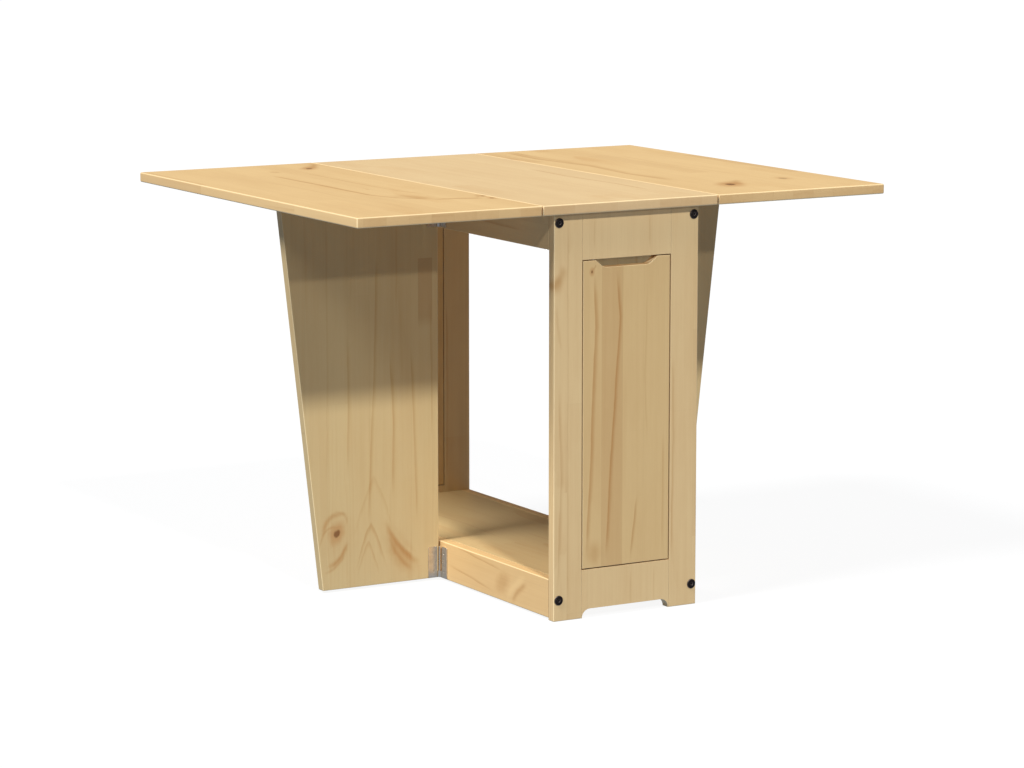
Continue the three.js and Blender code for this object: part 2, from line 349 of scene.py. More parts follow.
class Region:
    """The box of some nodes, with its grain along one axis. A place on it is in millimetres across and
    along from its low corner, or from its high side when it is mirrored."""

    def __init__(self, nodes, grain, across, mirrored=False):
        self.low, self.high = box_round(nodes)
        self.grain = grain
        self.across = across
        self.mirrored = mirrored


class Pine:
    """Glued-up pine: strips side by side along the grain, each of short lengths joined end to end.

    Each length is cut from its own log, so it has its own pith, about which its growth rings run.
    """

    STRIP = 43 * MM
    LENGTH = 0.37
    RING = 9 * MM

    def __init__(self, name, region, tone, seed, rings=1.0, contrast=1.0, lengths=1.0, joint=0.0):
        self.surface = Surface(name)
        self.tone = tone
        self.seed = seed
        self.ring_strength = rings
        self.contrast = contrast
        self.length = self.LENGTH * lengths
        where = self.surface.split("Object")
        grain, across = region.grain, region.across
        self.along = where[grain] - region.low[grain]
        if region.mirrored:
            self.across = region.high[across] - where[across]
        else:
            self.across = where[across] - region.low[across]
        self.across = self.across - joint * MM
        self.joint = joint
        self.through = where[3 - grain - across]
        self.end_grain = abs(self.surface.split("Normal")[grain]).ramp(0.6, 0.95)
        # The rounded edges, painted paler in finish(): part sanded wood, part painted highlight.
        self.edge = self.surface.edges(0.985, 0.86)
        noise = self.surface.noise
        self.ripple = noise(self.along * 60, self.across * 75 + seed, self.through * 75, detail=3) - 0.5
        self.drift = noise(self.along * 14 + seed, self.across * 40, self.through * 40) - 0.5
        self.marks = []
        self.knots = []
        self.hearts = []

    # Marks given one by one. A place is (across, along), and all sizes are in millimetres.

    def reach_from(self, place, lean=0.0):
        u = self.along - place[1] * MM
        v = self.across - (place[0] - self.joint) * MM - u * lean
        return u, v

    def knot(self, place, radius, stretch=1.0, lean=0.0, depth=1.0):
        """A branch: a dark core, a warm halo, and grain that flows round it."""
        radius *= MM
        u, v = self.reach_from(place, lean)
        u, v = u + self.drift * radius * 1.6, v + self.ripple * radius * 1.2
        near = (u / stretch).length_with(v) / radius
        flow = (u / (stretch * 3.4)).length_with(v) / (radius * 2.2)
        self.across = self.across - v * flow.bell() * 0.7
        self.knots.append((near, depth))

    def line(self, points, width, strength):
        """A line of latewood that runs mostly along the grain, sharp on one side and faint at both ends."""
        width *= MM
        points = sorted(points, key=lambda point: point[1])
        (first_across, first), (_, last) = points[0], points[-1]
        course = (self.along * 0) + (first_across - self.joint) * MM
        for (across, along), (next_across, next_along) in zip(points, points[1:]):
            span = (next_along - along) * MM
            share = ((self.along - along * MM) / span).most(0).least(1)
            course = course + share * ((next_across - across) * MM)
        v = self.across - course + self.drift * 4 * MM + self.ripple * MM
        fade = min(60, (last - first) / 3) * MM
        inside = self.along.ramp(first * MM, first * MM + fade)
        inside = inside * self.along.ramp(last * MM, last * MM - fade)
        self.marks.append(v.ramp(-width * 0.4, 0) * v.ramp(width * 2.4, 0) * inside * strength)

    def stroke(self, start, end, width, strength, bend=0.0):
        """A short curved smear between two places, at any slant. A negative strength is paler wood."""
        across, along = (end[0] - start[0]) * MM, (end[1] - start[1]) * MM
        half = math.hypot(across, along) / 2
        u, v = self.reach_from(((start[0] + end[0]) / 2, (start[1] + end[1]) / 2))
        u, v = u + self.drift * 6 * MM, v + self.ripple * 4 * MM
        on = (u * (along / (2 * half)) + v * (across / (2 * half))) / half
        off = (v * (along / (2 * half)) - u * (across / (2 * half)) + on * on * (bend * MM)) / (width * MM)
        self.marks.append(off.bell() * abs(on).ramp(1.0, 0.45) * strength)

    def arch(self, place, spread, height, width, strength, upward=1):
        """One arch of latewood: its crown at the place, and its legs trailing off down the grain."""
        u, v = self.reach_from(place)
        u = (u + self.drift * 14 * MM) * upward
        v = (abs(v + self.ripple * 5 * MM) / (spread * MM)).math("POWER", 1.35)
        level = (u + v * (height * MM)) / (width * MM)
        inside = u.ramp(-height * MM, -height * 0.35 * MM)
        self.marks.append(level.ramp(1.2, 0) * level.ramp(-3.4, 0) * inside * strength)

    def patch(self, place, across, along, strength, lean=0.0):
        """A soft cloud of darker or paler wood."""
        u, v = self.reach_from(place, lean)
        u, v = u + self.drift * along * 0.5 * MM, v + self.ripple * across * 0.5 * MM
        share = (u / (along * MM)).length_with(v / (across * MM))
        self.marks.append(share.ramp(1.0, 0.15) * strength)

    def heart(self, place, across, along, share):
        """A redder length of heartwood with straight sides, its middle at the place."""
        u, v = self.reach_from(place)
        inside = abs(v).ramp(across * MM, (across - 1) * MM)
        inside = inside * u.ramp(along * MM, (along - 1) * MM) * u.ramp(-1.3 * along * MM, -0.8 * along * MM)
        self.hearts.append(inside * share)

    def finish(self):
        s = self.surface
        along, across, through, seed = self.along, self.across, self.through, self.seed
        strip_place = across / self.STRIP + 40
        strip = strip_place.floor()
        offset, strip_tone, _ = s.chance(strip, seed, 1.7)
        length_place = along / self.length + offset * 7
        length = length_place.floor()
        pith_side, pith_deep, board_tone = s.chance(strip, length, seed + 3.1)
        _, ring_wide, warmth = s.chance(strip, length, seed + 9.4)

        # Growth rings about this length's own pith, which leans and wanders.
        wander = s.noise(along * 1.4, strip * 3.7 + seed, length * 1.3, detail=1.5) - 0.5
        side = (strip_place.fract() - 0.5) * self.STRIP + (pith_side - 0.5) * 0.09 + wander * 0.035
        deep = through + (pith_deep - 0.5) * 0.13 + along * 0.025
        radius = side.length_with(deep) + self.drift * 4 * MM + self.ripple * 0.8 * MM
        ring = radius / (ring_wide * self.RING + 0.7 * self.RING)
        turn = ring.fract()
        latewood = turn.ramp(0.3, 0.92) * turn.ramp(1.0, 0.94)
        strength = s.noise(along * 2.4, across * 11 + seed, ring.floor() * 0.37, detail=1)
        rings = latewood * strength.ramp(0.42, 0.8) * self.ring_strength

        # Fibres, streaks of resin and broad clouds of colour.
        fibre = s.noise(along * 22, across * 900, through * 900 + seed, detail=2, roughness=0.65)
        streaks = s.noise(along * 3.0, across * 120, through * 120 + seed, detail=3, roughness=0.6)
        clouds = s.noise(along * 3.2 + seed, across * 11, through * 11, detail=2.5)
        mottle = s.noise(along * 24, across * 46 + seed, through * 46, detail=3, roughness=0.6)
        pores = s.noise(along * 60, across * 420, through * 420 + seed, detail=1).ramp(0.66, 0.8)

        amount = rings * 0.28 + (streaks - 0.5) * 0.32 + (clouds - 0.5) * 0.42 + (mottle - 0.5) * 0.14
        amount = amount + (fibre - 0.5) * 0.18 + pores * 0.05
        amount = amount + (board_tone - 0.5) * (self.end_grain * 0.3 + 0.10) + (strip_tone - 0.5) * 0.06
        amount = amount * self.contrast + 0.12
        for mark in self.marks:
            amount = amount + mark

        colour = s.mix(amount.ramp(-0.25, 1.25), [part * 1.06 for part in self.tone], LATEWOOD)
        colour = s.mix(warmth.ramp(0.9, 1.0) * 0.16, colour, HEARTWOOD)
        for share in self.hearts:
            colour = s.mix(share * (clouds * 1.4 + 0.2), colour, HEARTWOOD)
        for near, depth in self.knots:
            ragged = near + (fibre - 0.5) * 0.25 + (streaks - 0.5) * 0.5 + (clouds - 0.5) * 0.9
            colour = s.mix(ragged.ramp(3.2, 0.9) * (0.5 * depth), colour, KNOT_HALO)
            colour = s.mix(ragged.ramp(1.1, 0.55) * (0.75 * depth), colour, KNOT_BROWN)

        # Glue lines between strips and lengths, darker end grain, and edges paled by sanding and a painted
        # highlight.
        half_strip, half_length = self.STRIP / 2, self.length / 2
        across_gap = abs((strip_place.fract() - 0.5) * self.STRIP)
        along_gap = abs((length_place.fract() - 0.5) * self.length)
        line = across_gap.ramp(half_strip - 0.5 * MM, half_strip)
        line = line.most(along_gap.ramp(half_length - 0.6 * MM, half_length) * 0.6)
        colour = s.mix(self.end_grain * 0.22, colour, LATEWOOD)
        colour = s.brighten(colour, 1.0 - line * 0.06 - self.end_grain * 0.06)
        # Paler rounded edges: part sanded wood, part a painted highlight.
        colour = s.mix(self.edge * 0.55, colour, SANDED_EDGE_AND_HIGHLIGHT)

        roughness = 0.40 + (fibre - 0.5) * 0.12 + rings * 0.06 + self.end_grain * 0.18
        relief = fibre * 0.35 + latewood * 0.2 - line * 0.5 - pores * 0.3
        material = s.finish(colour, roughness, relief, 0.07 * MM)
        s.shader.inputs["Specular IOR Level"].default_value = 0.2
        return material


# ---------------------------------------------------------------- metal and plastic


def zinc_steel():
    """Bright zinc plate: a cool grey, faintly blue, with brushed lines and duller spots."""
    s = Surface("zinc_steel")
    x, y, z = s.split("Object")
    spangle = s.even_noise(260, 3)
    brush = s.noise(x * 2600, y * 2600, z * 90, detail=2)
    dull = s.even_noise(60, 3)
    worn = s.edges(0.98, 0.8)
    colour = s.mix(spangle.ramp(0.2, 0.8), linear(218, 208, 192), linear(234, 224, 208))
    colour = s.mix(dull.ramp(0.52, 0.75) * 0.25, colour, linear(176, 168, 154))
    colour = s.mix(worn * 0.4, colour, linear(240, 236, 230))
    material = s.finish(colour, 0.20 + dull * 0.12 + brush * 0.05, brush, 0.01 * MM)
    s.shader.inputs["Metallic"].default_value = 0.85
    return material


def black_steel():
    """Black-oxide steel with a faint wax sheen, worn bright along its edges."""
    s = Surface("black_steel")
    cloud, grain = s.even_noise(300, 3), s.even_noise(2400, 2)
    worn = s.edges(0.97, 0.75)
    colour = s.mix(cloud.ramp(0.35, 0.7), linear(27, 18, 13), linear(44, 32, 26))
    colour = s.mix(worn * 0.55, colour, linear(150, 136, 130))
    material = s.finish(colour, 0.34 + cloud * 0.2, grain, 0.02 * MM)
    s.shader.inputs["Metallic"].default_value = 0.5
    return material


def brown_plastic():
    """Moulded brown plastic with a fine spark-eroded texture, paler where its edges are rubbed."""
    s = Surface("brown_plastic")
    cloud, grain = s.even_noise(90, 2), s.even_noise(1500, 2)
    worn = s.edges(0.97, 0.8)
    colour = s.mix(cloud.ramp(0.3, 0.7), linear(72, 50, 34), linear(90, 64, 44))
    colour = s.mix(worn * 0.3, colour, linear(126, 98, 74))
    return s.finish(colour, 0.45 + grain * 0.2, grain, 0.05 * MM)


# ---------------------------------------------------------------- meshes


def add_object(name, data):
    thing = bpy.data.objects.new(name, data)
    bpy.context.scene.collection.objects.link(thing)
    return thing


def new_piece(name, bm, material):
    """A piece from a bmesh, with no slot or body yet."""
    mesh = bpy.data.meshes.new(name)
    bmesh.ops.remove_doubles(bm, verts=bm.verts, dist=WELD)
    bmesh.ops.recalc_face_normals(bm, faces=bm.faces)
    bm.to_mesh(mesh)
    bm.free()
    mesh.materials.append(material)
    return add_object(name, mesh)


def smooth(piece):
    """Smooth shading that leaves flat faces flat."""
    mesh = piece.data
    mesh.shade_smooth()
    mesh.set_sharp_from_angle(angle=SHARP_ANGLE)
    weights = piece.modifiers.new("flat_faces", "WEIGHTED_NORMAL")
    weights.keep_sharp = True
    weights.weight = 100
    return piece


def place(piece, body, slot, *nodes):
    """The piece rides on a body and stands for CAD nodes, which it hides. The slot is not used."""
    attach(piece, body)
    if nodes:
        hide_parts(*nodes)
    return piece


def prism(outline, axis, low, high):
    """A bmesh of a flat outline given thickness along an axis. The outline holds the two other parts."""
    bm = bmesh.new()

    def point(a, b, c):
        parts = [a, b]
        parts.insert(axis, c)
        return bm.verts.new(parts)

    near = [point(a, b, low) for a, b in outline]
    far = [point(a, b, high) for a, b in outline]
    bm.faces.new(near)
    bm.faces.new(far)
    for i, _ in enumerate(outline):
        j = (i + 1) % len(outline)
        bm.faces.new((near[i], near[j], far[j], far[i]))
    bmesh.ops.recalc_face_normals(bm, faces=bm.faces)
    return bm


def box_mesh(low, high):
    outline = [(low[X], low[Y]), (high[X], low[Y]), (high[X], high[Y]), (low[X], high[Y])]
    return prism(outline, Z, low[Z], high[Z])


def round_edges(bm, radius, chosen=lambda low, high: True, steps=ROUND_STEPS):
    """Rounds the sharp edges whose own box, from low to high, is chosen."""
    edges = []
    for edge in bm.edges:
        if len(edge.link_faces) == 2 and edge.calc_face_angle() > SHARP_ANGLE:
            a, b = (vert.co for vert in edge.verts)
            if chosen(Vector(map(min, a, b)), Vector(map(max, a, b))):
                edges.append(edge)
    bmesh.ops.bevel(
        bm, geom=edges, offset=radius, segments=steps, profile=0.5,
        affect="EDGES", clamp_overlap=True,
    )


def cylinder(radius, start, end):
    """A bmesh of a round bar between two points."""
    bm = bmesh.new()
    line = end - start
    bmesh.ops.create_cone(
        bm, cap_ends=True, segments=TURNED_SIDES, radius1=radius, radius2=radius, depth=line.length,
    )
    turn = line.to_track_quat("Z", "Y").to_matrix().to_4x4()
    bm.transform(Matrix.Translation((start + end) / 2) @ turn)
    return bm


def turned(profile):
    """A closed bmesh turned about Z from (radius, height) points, the first and last on the axis."""
    bm = bmesh.new()
    rings = []
    for radius, height in profile:
        if radius == 0:
            rings.append([bm.verts.new((0, 0, height))])
            continue
        angles = [2 * math.pi * i / TURNED_SIDES for i in range(TURNED_SIDES)]
        rings.append([
            bm.verts.new((radius * math.cos(a), radius * math.sin(a), height)) for a in angles
        ])
    for lower, upper in zip(rings, rings[1:]):
        for i in range(TURNED_SIDES):
            j = (i + 1) % TURNED_SIDES
            corners = [lower[i % len(lower)], lower[j % len(lower)]]
            corners += [upper[j % len(upper)], upper[i % len(upper)]]
            bm.faces.new(list(dict.fromkeys(corners)))
    return bm


def cut(piece, cutters):
    """Takes the cutters' bmeshes out of a piece's mesh."""
    tools = []
    for i, bm in enumerate(cutters):
        tool = new_piece(f"{piece.name}_cutter_{i}", bm, piece.data.materials[0])
        modifier = piece.modifiers.new("cut", "BOOLEAN")
        modifier.operation = "DIFFERENCE"
        modifier.solver = "EXACT"
        modifier.object = tool
        tools.append(tool)
    bpy.context.view_layer.update()
    depsgraph = bpy.context.evaluated_depsgraph_get()
    mesh = bpy.data.meshes.new_from_object(piece.evaluated_get(depsgraph), depsgraph=depsgraph)
    mesh.name = piece.name
    piece.modifiers.clear()
    old, piece.data = piece.data, mesh
    bpy.data.meshes.remove(old)
    for tool in tools:
        tool_mesh = tool.data
        bpy.data.objects.remove(tool)
        bpy.data.meshes.remove(tool_mesh)
    return piece


def join_shells(shells):
    """One bmesh that holds several separate shells."""
    whole = bmesh.new()
    for bm in shells:
        mesh = bpy.data.meshes.new("shell")
        bm.to_mesh(mesh)
        bm.free()
        whole.from_mesh(mesh)
        bpy.data.meshes.remove(mesh)
    return whole


def stand(origin, *axes):
    """The matrix that carries local X, Y and Z to three world directions and the origin to a point."""
    turn = Matrix([list(axis) for axis in axes]).transposed().to_4x4()
    return Matrix.Translation(origin) @ turn


# ---------------------------------------------------------------- the looks

ZINC = zinc_steel()
BLACK = black_steel()
PLASTIC = brown_plastic()

TOP_TONE = linear(247, 211, 152)
CENTRE_TONE = linear(247, 216, 164)
FRAME_TONE = linear(236, 206, 153)
# A greyer, darker copy of the frame's tone: painted shade for the back frame, whose inner faces sit in
# shade.
BACK_FRAME_SHADE_TONE = linear(226, 200, 154)
DOOR_TONE = linear(228, 196, 140)
BASE_TONE = linear(240, 203, 144)
# The base's tone made darker for the shelf: painted shade, as the shelf lies in shade between the end
# frames.
SHELF_SHADE_TONE = linear(218, 192, 139)
GATE_TONE = linear(222, 198, 146)


def leaf_look():
    """The two leaves, drawn as one surface with the centre board between them."""
    region = Region(["left_leaf_board", "right_leaf_board"], Y, X)
    pine = Pine("pine_leaves", region, TOP_TONE, seed=2.3, contrast=0.8, joint=12)
    pine.knot((300, 762), 8, stretch=1.6, lean=0.35, depth=0.8)
    pine.stroke((296, 750), (352, 842), 9, 0.45, bend=6)
    pine.knot((825, 130), 12, stretch=1.4, lean=0.3)
    pine.stroke((822, 120), (874, 196), 12, 0.4, bend=-8)
    pine.knot((346, 187), 3, stretch=1.6)
    pine.knot((344, 151), 3.5, stretch=1.6)
    pine.knot((711, 722), 6, stretch=2.4, depth=0.6)
    pine.line([(178, 690), (182, 480), (180, 300), (200, 232), (262, 176)], 5, 0.5)
    pine.stroke((242, 190), (338, 158), 7, 0.55, bend=-10)
    pine.stroke((325, 164), (352, 214), 4, 0.3, bend=6)
    pine.patch((232, 232), 34, 62, 0.32, lean=-0.3)
    pine.line([(255, 690), (252, 500), (257, 330), (284, 240)], 3.5, 0.3)
    pine.line([(120, 640), (128, 420), (122, 240)], 3, 0.16)
    pine.patch((215, 732), 16, 22, 0.3)
    pine.line([(772, 860), (758, 700), (778, 540), (762, 380), (772, 230)], 10, 0.4)
    pine.line([(784, 860), (776, 720), (788, 600)], 7, 0.26)
    pine.line([(930, 700), (920, 480), (934, 260)], 4, 0.2)
    pine.knot((967, 171), 7, stretch=1.4, depth=0.5)
    return pine.finish()


def centre_look():
    pine = Pine("pine_centre", Region(["top_centre_board"], Y, X), CENTRE_TONE, seed=5.9,
                contrast=0.7, rings=0.7, joint=20)
    pine.line([(294, 560), (286, 400), (296, 250), (292, 120)], 4, 0.36)
    pine.line([(120, 620), (128, 420), (118, 160)], 3, 0.14)
    return pine.finish()


def frame_look(end, seed):
    region = Region([f"{end}_left_stile", f"{end}_right_stile"], Z, X)
    # The back frame takes a darker, greyer copy of the frame's tone, as painted shade.
    tone = FRAME_TONE if end == "front" else BACK_FRAME_SHADE_TONE
    pine = Pine(f"pine_{end}_frame", region, tone, seed=seed, contrast=0.85, joint=27)
    pine.stroke((-6, 574), (27, 622), 8, 0.34, bend=6)
    pine.patch((6, 588), 16, 22, 0.26)
    pine.stroke((2, 560), (14, 470), 3, 0.2, bend=3)
    pine.line([(27, 700), (28, 20)], 1.6, 0.22)
    pine.line([(80, 711), (80, 640)], 2, 0.2)
    pine.line([(192, 711), (192, 640)], 2, 0.2)
    pine.line([(157, 86), (157, 0)], 2, 0.2)
    pine.line([(205, 86), (205, 0)], 2, 0.2)
    pine.line([(241, 460), (243, 300), (241, 80)], 2.6, 0.34)
    pine.line([(9, 420), (15, 250), (7, 40)], 3, 0.24)
    return pine.finish()


def door_look(end, seed):
    pine = Pine(f"pine_{end}_door", Region([f"{end}_door"], Z, X), DOOR_TONE, seed=seed, rings=0.5,
                contrast=0.85, lengths=30, joint=38)
    pine.knot((17.5, 520), 2.3, stretch=1.5, depth=0.9)
    pine.stroke((18, 522), (26, 532), 1.6, 0.4, bend=1)
    pine.line([(19.5, 530), (25.5, 424), (19.5, 299), (15.5, 174), (6.5, 14)], 4, 0.55)
    pine.line([(66.5, 532), (75, 439), (65.5, 314), (57.5, 199), (46.5, 4)], 3.4, 0.55)
    pine.line([(112, 130), (108.5, 104), (96.5, 0)], 2.6, 0.5)
    pine.line([(163.5, 240), (163.5, 4)], 2.4, 0.3)
    pine.line([(130, 500), (126, 330), (131, 200)], 2, 0.18)
    pine.patch((23, 27), 22, 30, 0.35)
    return pine.finish()


def gate_look(side, seed):
    region = Region([f"{side}_gate"], Z, X, mirrored=side == "right")
    pine = Pine(f"pine_{side}_gate", region, GATE_TONE, seed=seed, contrast=0.8, rings=0.6, joint=4,
                lengths=2)
    pine.knot((108, 103), 7, stretch=1.35, lean=0.2)
    pine.stroke((70, 108), (118, 150), 5, 0.42, bend=-14)
    pine.stroke((62, 88), (112, 128), 2.5, 0.28, bend=-18)
    pine.stroke((112, 150), (132, 118), 3, 0.26, bend=-8)
    pine.stroke((92, 34), (136, 84), 4.5, 0.55, bend=7)
    pine.stroke((84, 26), (128, 60), 2.5, 0.3, bend=6)
    pine.arch((178, 112), 34, 90, 5, 0.34)
    pine.arch((172, 78), 26, 66, 4, 0.24)
    pine.arch((184, 196), 46, 120, 6, 0.16)
    pine.stroke((196, 118), (276, 18), 6, 0.42, bend=9)
    pine.stroke((206, 88), (262, 10), 4, 0.3, bend=7)
    pine.stroke((204, 116), (270, 36), 4, -0.2, bend=6)
    pine.patch((238, 55), 36, 62, 0.34, lean=-0.5)
    pine.patch((112, 96), 52, 70, 0.12)
    pine.heart((291, 534), 15, 57, 0.36)
    pine.line([(191, 607), (186, 400), (171, 107)], 3, 0.34)
    pine.line([(131, 470), (133, 330), (129, 195)], 3, 0.3)
    pine.line([(216, 440), (224, 300), (222, 150)], 3, 0.34)
    pine.line([(259, 440), (266, 300), (272, 100)], 3, 0.32)
    pine.line([(90, 690), (91, 400), (88, 200)], 2, 0.16)
    pine.line([(231, 690), (231, 480)], 2, 0.2)
    pine.line([(300, 520), (303, 380), (302, 250)], 2.5, 0.3)
    return pine.finish()


def base_rail_look(side, seed):
    region = Region([f"{side}_base_rail"], Y, Z, mirrored=side == "right")
    pine = Pine(f"pine_{side}_base_rail", region, BASE_TONE, seed=seed, contrast=0.8, lengths=3,
                rings=0.6, joint=9)
    pine.stroke((63, 78), (8, 150), 6, -0.3, bend=4)
    pine.stroke((52, 72), (4, 132), 5, 0.4, bend=5)
    pine.patch((34, 158), 26, 36, 0.34, lean=-0.4)
    pine.line([(52, 140), (60, 240), (69, 345)], 2.4, 0.36)
    pine.line([(9, 180), (20, 270), (30, 370)], 2.4, 0.36)
    pine.line([(44, 420), (38, 560), (46, 720)], 2.6, 0.28)
    return pine.finish()


def shelf_look():
    # The shelf takes a darker copy of the base's tone, as painted shade.
    pine = Pine("pine_shelf", Region(["base_shelf"], Y, X), SHELF_SHADE_TONE, seed=8.2, contrast=0.85, joint=6)
    pine.knot((78, 742), 8, stretch=1.5, depth=0.9)
    pine.stroke((66, 700), (102, 782), 7, 0.3, bend=6)
    pine.line([(150, 380), (158, 220), (146, 20)], 3, 0.3)
    pine.line([(88, 660), (96, 500), (86, 330)], 3, 0.24)
    return pine.finish()


def apron_look(side, seed):
    pine = Pine(f"pine_{side}_apron", Region([f"{side}_apron"], Y, Z), FRAME_TONE, seed=seed,
                contrast=0.85, lengths=2)
    pine.line([(24, 80), (30, 300), (22, 620)], 3, 0.3)
    return pine.finish()


# ---------------------------------------------------------------- wood pieces


def hinge_recesses(board):
    """Cutters for the leaf hinges let into a board's underside."""
    low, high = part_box(board)
    cutters = []
    for side in SIDES:
        for end in ENDS:
            hinge = f"{side}_leaf_{end}_hinge"
            near, far = box_round([f"{hinge}_fixed_leaf", f"{hinge}_moving_leaf"])
            if far.x < low.x or near.x > high.x:
                continue
            middle = sum(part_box(f"{hinge}_pin"), Vector()) / 2
            half = far.z - middle.z + FIT
            near, far = near - Vector((FIT, FIT, 0)), far + Vector((FIT, FIT, FIT))
            under = low.z - SPARE
            cutters.append(box_mesh(
                (near.x, near.y, under), (far.x, far.y, low.z + PLATE_THICKNESS + FIT),
            ))
            cutters.append(box_mesh(
                (middle.x - half, near.y, under), (middle.x + half, far.y, far.z),
            ))
    return cutters


def top_board(node, body, material):
    """A board of the top, rounded less along the seams than along the table's outer edges."""
    low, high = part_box(node)

    def along_seam(edge_low, edge_high):
        outside = abs(edge_low.x) > cad_high[X] - MM and abs(edge_high.x) > cad_high[X] - MM
        return edge_high.y - edge_low.y > MM and not outside

    bm = box_mesh(low, high)
    round_edges(bm, TOP_ROUND, lambda a, b: not along_seam(a, b))
    round_edges(bm, SEAM_ROUND, lambda a, b: b.y - a.y > high.y - low.y - 10 * MM)
    piece = new_piece(f"{node}_pine", bm, material)
    cut(piece, hinge_recesses(node))
    return place(smooth(piece), body, "pine_top", node)


def rounded_board(node, body, slot, material, radius, chosen=None, cutters=()):
    """A plain board with one rounding for chosen edges and a slight one for the rest."""
    bm = box_mesh(*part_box(node))
    if chosen:
        round_edges(bm, radius, chosen)
        round_edges(bm, JOINT_ROUND)
    else:
        round_edges(bm, radius)
    piece = new_piece(f"{node}_pine", bm, material)
    if cutters:
        cut(piece, cutters)
    return place(smooth(piece), body, slot, node)


def bolt_hole(bolt):
    """A cutter for a connector bolt's shank, along Y."""
    low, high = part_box(bolt)
    middle = (low + high) / 2
    start = Vector((middle.x, low.y - BOLT_HOLE_DEPTH, middle.z))
    end = Vector((middle.x, high.y + FIT, middle.z))
    return cylinder(BOLT_HOLE, start, end)


def pivot_hole(pivot):
    low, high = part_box(pivot)
    middle = (low + high) / 2
    radius = (high.x - low.x) / 2 + FIT
    start = Vector((middle.x, middle.y, low.z - FIT))
    end = Vector((middle.x, middle.y, high.z + FIT))
    return cylinder(radius, start, end)


def stile(end, side, material):
    node = f"{end}_{side}_stile"
    low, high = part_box(node)
    outer = low.x if side == "left" else high.x
    holes = [bolt_hole(f"{end}_{side}_{level}_bolt") for level in LEVELS]

    def on_outside(edge_low, edge_high):
        return abs(edge_low.x - outer) + abs(edge_high.x - outer) < MM or edge_high.z < MM

    return rounded_board(
        node, "carcass", "pine_frame", material, FRAME_ROUND, on_outside, holes,
    )


def long_rail(node, slot, material, radius):
    side, kind = node.split("_", 1)
    level = "upper" if kind == "apron" else "lower"
    holes = [bolt_hole(f"{end}_{side}_{level}_bolt") for end in ENDS]
    return rounded_board(
        node, "carcass", slot, material, radius,
        lambda low, high: high.y - low.y > MM, holes,
    )


def bottom_rail(end, material):
    """The bottom rail, whose lower edge is an arch with a quarter-round at each foot."""
    node = f"{end}_bottom_rail"
    low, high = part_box(node)
    spring = high.x - TOE_FOOT - TOE_HEIGHT
    arc = [math.pi / 2 * i / ARC_STEPS for i in range(ARC_STEPS + 1)]
    right = [(spring + TOE_HEIGHT * math.sin(a), TOE_HEIGHT * math.cos(a)) for a in arc]
    left = [(-x, z) for x, z in reversed(right)]
    outline = [(low.x, 0), *left, *right, (high.x, 0), (high.x, high.z), (low.x, high.z)]
    bm = prism(outline, Y, low.y, high.y)
    round_edges(bm, JOINT_ROUND)
    piece = new_piece(f"{node}_pine", bm, material)
    cut(piece, [pivot_hole(f"{end}_door_bottom_pivot")])
    return place(smooth(piece), "carcass", "pine_frame", node)


def door(end, material):
    """A door whose top edge dips in the middle for the fingers."""
    node = f"{end}_door"
    low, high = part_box(node)
    floor = high.z - NOTCH_DEPTH
    side = Vector((NOTCH_TOP - NOTCH_BOTTOM, NOTCH_DEPTH)).normalized()
    corner = Vector((NOTCH_BOTTOM, floor))
    start, finish = corner + side * NOTCH_ROUND, corner - Vector((NOTCH_ROUND, 0))
    bend = []
    for i in range(ARC_STEPS + 1):
        t = i / ARC_STEPS
        point = start * (1 - t) ** 2 + corner * (2 * t * (1 - t)) + finish * t**2
        bend.append((point.x, point.y))
    right = [(NOTCH_TOP, high.z), *bend]
    left = [(-x, z) for x, z in reversed(right)]
    outline = [(low.x, low.z), (high.x, low.z), (high.x, high.z), *right, *left, (low.x, high.z)]
    bm = prism(outline, Y, low.y, high.y)
    round_edges(bm, DOOR_ROUND)
    piece = new_piece(f"{node}_pine", bm, material)
    cut(piece, [pivot_hole(f"{end}_door_{level}_pivot") for level in ("bottom", "top")])
    return place(smooth(piece), f"{end}_door_body", "pine_door", node)


def gate(side, material):
    """A tall panel, wider at the top, whose outer edge slants in towards the floor."""
    node = f"{side}_gate"
    low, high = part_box(node)
    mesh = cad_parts[node].data
    bottom = [vert.co.x for vert in mesh.vertices if vert.co.z < low.z + MM]
    inner, top_outer = (high.x, low.x) if side == "left" else (low.x, high.x)
    bottom_outer = min(bottom) if side == "left" else max(bottom)
    outline = [(inner, low.z), (inner, high.z), (top_outer, high.z), (bottom_outer, low.z)]
    bm = prism(outline, Y, low.y, high.y)
    round_edges(bm, GATE_ROUND)
    piece = new_piece(f"{node}_pine", bm, material)
    return place(smooth(piece), f"{side}_gate_body", "pine_gate", node)


# ---------------------------------------------------------------- hardware


